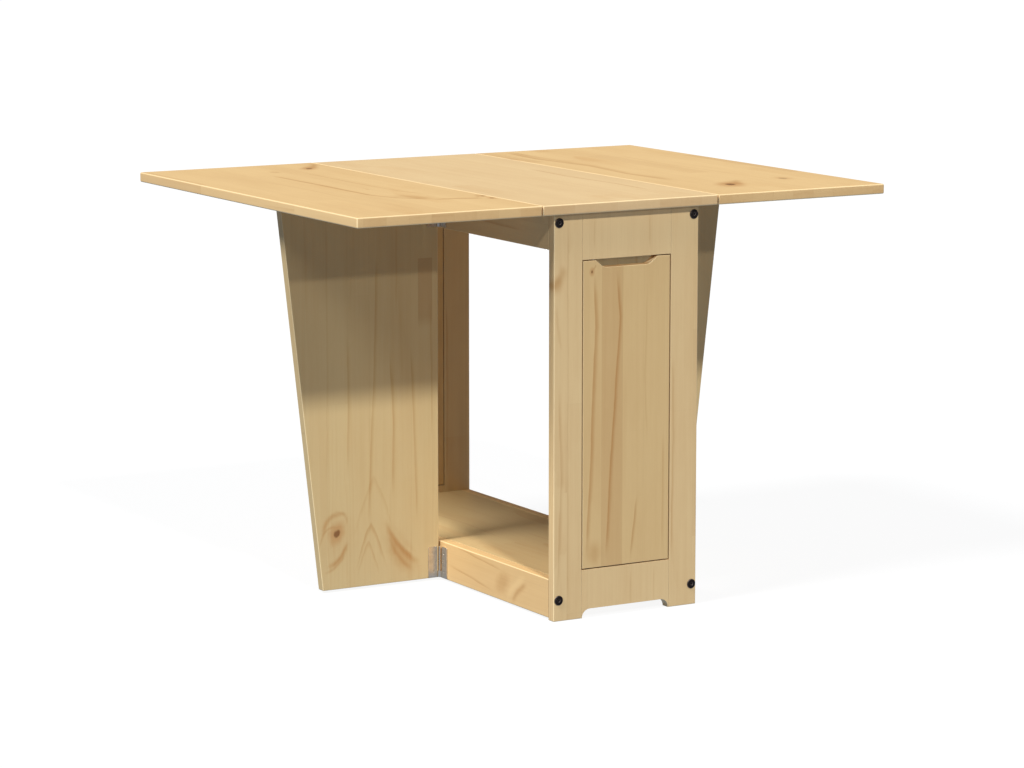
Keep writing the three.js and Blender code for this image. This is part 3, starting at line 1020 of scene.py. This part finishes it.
def bolt(end, side, level):
    """A connector bolt: a thin crowned head with a hexagon socket, and a shank threaded at its end."""
    node = f"{end}_{side}_{level}_bolt"
    low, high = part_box(node)
    head = (high.x - low.x) / 2
    length = high.y - low.y
    shank = BOLT_HEAD - length
    root = BOLT_SHANK_RADIUS - BOLT_THREAD_DEPTH
    profile = [(0, shank), (root, shank)]
    height = shank + 0.5 * MM
    for _ in range(BOLT_THREADS):
        profile.append((root, height))
        profile.append((BOLT_SHANK_RADIUS, height + BOLT_THREAD_PITCH / 2))
        height += BOLT_THREAD_PITCH
    profile += [(BOLT_SHANK_RADIUS, height + MM), (BOLT_SHANK_RADIUS, 0)]
    profile += [(head - inset * MM, rise * MM) for inset, rise in BOLT_CROWN]
    profile += [(head / 2, BOLT_HEAD), (0, BOLT_HEAD)]
    bm = turned(profile)
    corners = [math.pi / 3 * i for i in range(6)]
    socket = prism(
        [(BOLT_SOCKET_RADIUS * math.cos(a), BOLT_SOCKET_RADIUS * math.sin(a)) for a in corners],
        Z, BOLT_HEAD - BOLT_SOCKET_DEPTH, BOLT_HEAD + MM,
    )
    piece = new_piece(f"{node}_steel", bm, BLACK)
    mouth = turned([
        (0, BOLT_HEAD - 0.5 * MM), (BOLT_SOCKET_RADIUS - 0.1 * MM, BOLT_HEAD - 0.5 * MM),
        (BOLT_SOCKET_RADIUS + BOLT_SOCKET_MOUTH, BOLT_HEAD + 0.2 * MM), (0, BOLT_HEAD + 0.2 * MM),
    ])
    cut(piece, [socket, mouth])
    outward = -1 if end == "front" else 1
    middle = (low + high) / 2
    face = (low.y if end == "front" else high.y) - outward * BOLT_HEAD
    seat = stand(Vector((middle.x, face, middle.z)), (1, 0, 0), (0, 0, outward), (0, outward, 0))
    piece.data.transform(seat)
    piece.data.update()
    return place(smooth(piece), "carcass", "black_steel", node)


def screw_mesh():
    """A countersunk cross-head screw, its face at the origin and its point down local Z."""
    profile = [(0, -SCREW_LENGTH), (SCREW_NECK * 0.3, -SCREW_LENGTH + SCREW_POINT)]
    profile += [(SCREW_NECK, -SCREW_LENGTH + SCREW_TAPER), (SCREW_NECK, -SCREW_CONE)]
    profile += [(SCREW_HEAD, -SCREW_RIM), (SCREW_HEAD - 0.1 * MM, 0), (0, 0)]
    piece = new_piece("screw_pattern", turned(profile), ZINC)
    slots = []
    for reach_x, reach_y in ((SCREW_SLOT_REACH, SCREW_SLOT), (SCREW_SLOT, SCREW_SLOT_REACH)):
        reach = Vector((reach_x, reach_y, 0))
        depth = Vector((0, 0, SCREW_SLOT_DEPTH))
        slots.append(box_mesh(-reach - depth, reach + depth))
    cut(piece, slots)
    mesh = piece.data
    bpy.data.objects.remove(piece)
    return mesh


def screw(name, pattern, seat, body):
    mesh = pattern.copy()
    mesh.name = name
    mesh.transform(seat)
    mesh.update()
    return place(smooth(add_object(name, mesh)), body, "zinc_steel")


def hinge_leaf(node, pin_node, pattern, body, reach, side, barrel, standoff, first_knuckle):
    """A hinge leaf: a plate with two countersunk screws, curled round the pin at its own knuckles.

    Reach points from the pin along the plate, and side from the pin to the plate's own plane.
    """
    low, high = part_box(node)
    pin_low, pin_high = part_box(pin_node)
    axis = max(range(3), key=lambda i: pin_high[i] - pin_low[i])
    height = pin_high[axis] - pin_low[axis]
    origin = (pin_low + pin_high) / 2
    origin[axis] = pin_low[axis]
    along = Vector([1 if i == axis else 0 for i in range(3)])
    edge = [high[i] if reach[i] > 0 else low[i] for i in range(3)]
    width = abs(sum((edge[i] - origin[i]) * reach[i] for i in range(3)))
    near, far = standoff, standoff + PLATE_THICKNESS
    clear = barrel + RUNNING_GAP

    plate = prism([(clear, 0), (width, 0), (width, height), (clear, height)], Y, near, far)
    round_edges(plate, PLATE_CORNER, lambda a, b: a.x > width - MM and b.y - a.y > MM, steps=6)
    round_edges(plate, PLATE_ROUND, steps=2)
    shells = [plate]

    inner = barrel - PLATE_THICKNESS + 0.1 * MM
    turns = [
        math.pi / 2 + (1.5 * math.pi + math.pi / 2 - CURL_OPENING) * i / (3 * ARC_STEPS)
        for i in range(3 * ARC_STEPS + 1)
    ]
    outside = [(barrel * math.cos(a), barrel * math.sin(a)) for a in turns]
    inside = [(inner * math.cos(a), inner * math.sin(a)) for a in reversed(turns)]
    tab = clear + PLATE_ROUND
    root = (CURL_ROOT, CURL_ROOT)
    if near < barrel / 2:
        # A plate near the pin's middle meets the curl from the side, so the curl closes on itself.
        root = (barrel * 0.55, inner * 0.9)
    curl = [(tab, far), (root[0], far), *outside, *inside, (root[1], near), (tab, near)]
    pitch = height / KNUCKLES
    for k in range(first_knuckle, KNUCKLES, 2):
        z0 = k * pitch + (RUNNING_GAP / 2 if k > 0 else 0)
        z1 = (k + 1) * pitch - (RUNNING_GAP / 2 if k < KNUCKLES - 1 else 0)
        knuckle = prism(curl, Z, z0, z1)
        round_edges(knuckle, 0.2 * MM, lambda a, b: b.z - a.z < 0.01 * MM, steps=2)
        shells.append(knuckle)

    piece = new_piece(f"{node}_steel", join_shells(shells), ZINC)
    seat = stand(origin, reach, side, along)
    middle = (clear + width) / 2
    holes = []
    for i, share in enumerate((SCREW_FROM_END, 1 - SCREW_FROM_END)):
        centre = Vector((middle, near, height * share))
        neck, head = SCREW_NECK + SCREW_HOLE_SPARE, SCREW_HEAD + SCREW_HOLE_SPARE
        cone = turned([(0, -far), (neck, -far), (neck, -SCREW_CONE), (head, 0), (head, MM), (0, MM)])
        into_wood = stand(centre, (1, 0, 0), (0, 0, 1), (0, -1, 0))
        cone.transform(into_wood)
        holes.append(cone)
        sunk = Matrix.Translation((0, SCREW_INSET, 0))
        turn = Matrix.Rotation(math.radians(SCREW_TURNS[i]), 4, "Z")
        screw(f"{node}_screw_{i + 1}", pattern, seat @ sunk @ into_wood @ turn, body)
    cut(piece, holes)
    piece.data.transform(seat)
    piece.data.update()
    return place(smooth(piece), body, "zinc_steel", node)


def pin(node, body):
    """A hinge or pivot pin with rounded ends."""
    low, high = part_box(node)
    axis = max(range(3), key=lambda i: high[i] - low[i])
    radius = (high[(axis + 1) % 3] - low[(axis + 1) % 3]) / 2
    length = high[axis] - low[axis]
    ends = [(radius * wide, radius * rise) for wide, rise in PIN_END]
    profile = [(0, 0), *ends, *[(r, length - h) for r, h in reversed(ends)], (0, length)]
    bm = turned(profile)
    origin = (low + high) / 2
    origin[axis] = low[axis]
    if axis == Y:
        bm.transform(Matrix.Rotation(-math.pi / 2, 4, "X"))
    bm.transform(Matrix.Translation(origin))
    piece = new_piece(f"{node}_steel", bm, ZINC)
    return place(smooth(piece), body, "zinc_steel", node)


def hinge(name, pattern, body, fixed, moving, barrel, standoff):
    """Both leaves and their pin. Fixed and moving give each leaf's reach and side."""
    kinds = (("fixed", "carcass", fixed), ("moving", body, moving))
    for first_knuckle, (kind, rides_on, (reach, side)) in enumerate(kinds):
        hinge_leaf(
            f"{name}_{kind}_leaf", f"{name}_pin", pattern, rides_on, reach, side,
            barrel, standoff, first_knuckle,
        )
    pin(f"{name}_pin", "carcass")


def catch(end):
    """A magnetic catch: a rounded housing with a shadow groove round its middle."""
    node = f"{end}_door_catch"
    low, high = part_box(node)
    bm = box_mesh(low, high)
    round_edges(bm, CATCH_ROUND)
    piece = new_piece(f"{node}_plastic", bm, PLASTIC)
    middle = (low + high) / 2
    inward = 1 if end == "front" else -1
    back = high.y if end == "front" else low.y
    grooves = []
    for share in CATCH_GROOVES:
        z = low.z + (high.z - low.z) * share
        y0, y1 = sorted((back - inward * CATCH_GROOVE, back + inward * MM))
        grooves.append(box_mesh(
            Vector((low.x - MM, y0, z - CATCH_GROOVE / 2)), Vector((high.x + MM, y1, z + CATCH_GROOVE / 2)),
        ))
    cut(piece, grooves)
    return place(smooth(piece), "carcass", "catch_plastic", node)


# ---------------------------------------------------------------- camera, light and floor


def camera():
    data = bpy.data.cameras.new("camera")
    data.sensor_width = CAMERA_SENSOR
    data.lens = CAMERA_LENS
    seat = add_object("camera", data)
    seat.location = CAMERA_PLACE
    seat.rotation_euler = [math.radians(angle) for angle in CAMERA_TURN]
    bpy.context.scene.camera = seat


def sun(name, direction, strength, softness):
    """A distant light. Direction is the way that it shines."""
    data = bpy.data.lights.new(name, "SUN")
    data.energy = strength
    data.angle = math.radians(softness)
    lamp = add_object(name, data)
    lamp.rotation_euler = Vector(direction).to_track_quat("-Z", "Y").to_euler()


def studio():
    """Light from the front, from the left, and back up from a pale floor."""
    world = bpy.data.worlds.new("studio")
    bpy.context.scene.world = world
    world.use_nodes = True
    tree = world.node_tree
    places = tree.nodes.new("ShaderNodeTexCoord")
    parts = tree.nodes.new("ShaderNodeSeparateXYZ")
    tree.links.new(places.outputs["Generated"], parts.inputs[0])
    from_floor = Field(tree, parts.outputs[2]).ramp(0.1, -0.15)
    background = tree.nodes["Background"]
    background.inputs["Color"].default_value = (*ROOM_COLOUR, 1)
    tree.links.new((from_floor * BOUNCE_STRENGTH + ROOM_STRENGTH).socket, background.inputs["Strength"])

    for name, direction, strength, softness in SUNS:
        sun(name, direction, strength, softness)

    floor = bmesh.new()
    bmesh.ops.create_grid(floor, x_segments=1, y_segments=1, size=FLOOR_REACH)
    floor.transform(Matrix.Translation((0, 0, -FLOOR_DROP)))
    stage_piece("floor", floor, FLOOR_GLOW, FLOOR_GREY)
    dome = bmesh.new()
    bmesh.ops.create_uvsphere(dome, u_segments=64, v_segments=32, radius=DOME_RADIUS)
    stage_piece("backdrop", dome, DOME_GLOW, 0.0)


def stage_piece(name, bm, glow, grey):
    """The pale floor, or the dome round the scene. Each glows, and neither lights the table."""
    material = bpy.data.materials.new(name)
    material.use_nodes = True
    material.cycles.emission_sampling = "NONE"
    shader = material.node_tree.nodes["Principled BSDF"]
    shader.inputs["Base Color"].default_value = (grey, grey, grey, 1)
    shader.inputs["Roughness"].default_value = 0.9
    shader.inputs["Specular IOR Level"].default_value = 0
    shader.inputs["Emission Color"].default_value = (1, 1, 1, 1)
    shader.inputs["Emission Strength"].default_value = glow
    piece = new_piece(name, bm, material)
    piece.visible_diffuse = False
    piece.visible_glossy = False
    piece.visible_shadow = False


# ---------------------------------------------------------------- assembly

camera()
studio()
bpy.context.scene.view_settings.view_transform = "Standard"

leaves = leaf_look()
top_board("top_centre_board", "carcass", centre_look())
for side in SIDES:
    top_board(f"{side}_leaf_board", f"{side}_leaf", leaves)

for end, seed in (("front", 4.1), ("back", 6.7)):
    wood = frame_look(end, seed)
    for side in SIDES:
        stile(end, side, wood)
        for level in LEVELS:
            bolt(end, side, level)
    rounded_board(
        f"{end}_top_rail", "carcass", "pine_frame", wood, JOINT_ROUND,
        cutters=[pivot_hole(f"{end}_door_top_pivot")],
    )
    bottom_rail(end, wood)
    door(end, door_look(end, seed + 1.3))
    for level in ("bottom", "top"):
        pin(f"{end}_door_{level}_pivot", "carcass")
    catch(end)

for side, seed in (("left", 3.4), ("right", 5.8)):
    gate(side, gate_look(side, seed))
    long_rail(f"{side}_apron", "pine_frame", apron_look(side, seed + 0.6), FRAME_ROUND)
    long_rail(f"{side}_base_rail", "pine_base", base_rail_look(side, seed + 2.2), BASE_ROUND)
rounded_board("base_shelf", "carcass", "pine_base", shelf_look(), JOINT_ROUND)

pattern = screw_mesh()
for side in SIDES:
    out = Vector((-1 if side == "left" else 1, 0, 0))
    front = Vector((0, -1 if side == "left" else 1, 0))
    up = Vector((0, 0, 1))
    for level in LEVELS:
        hinge(
            f"{side}_gate_{level}_hinge", pattern, f"{side}_gate_body",
            (front, -out), (out, -front), GATE_BARREL, GATE_STANDOFF,
        )
    for end in ENDS:
        hinge(
            f"{side}_leaf_{end}_hinge", pattern, f"{side}_leaf",
            (-out, up), (out, up), LEAF_BARREL, LEAF_STANDOFF,
        )
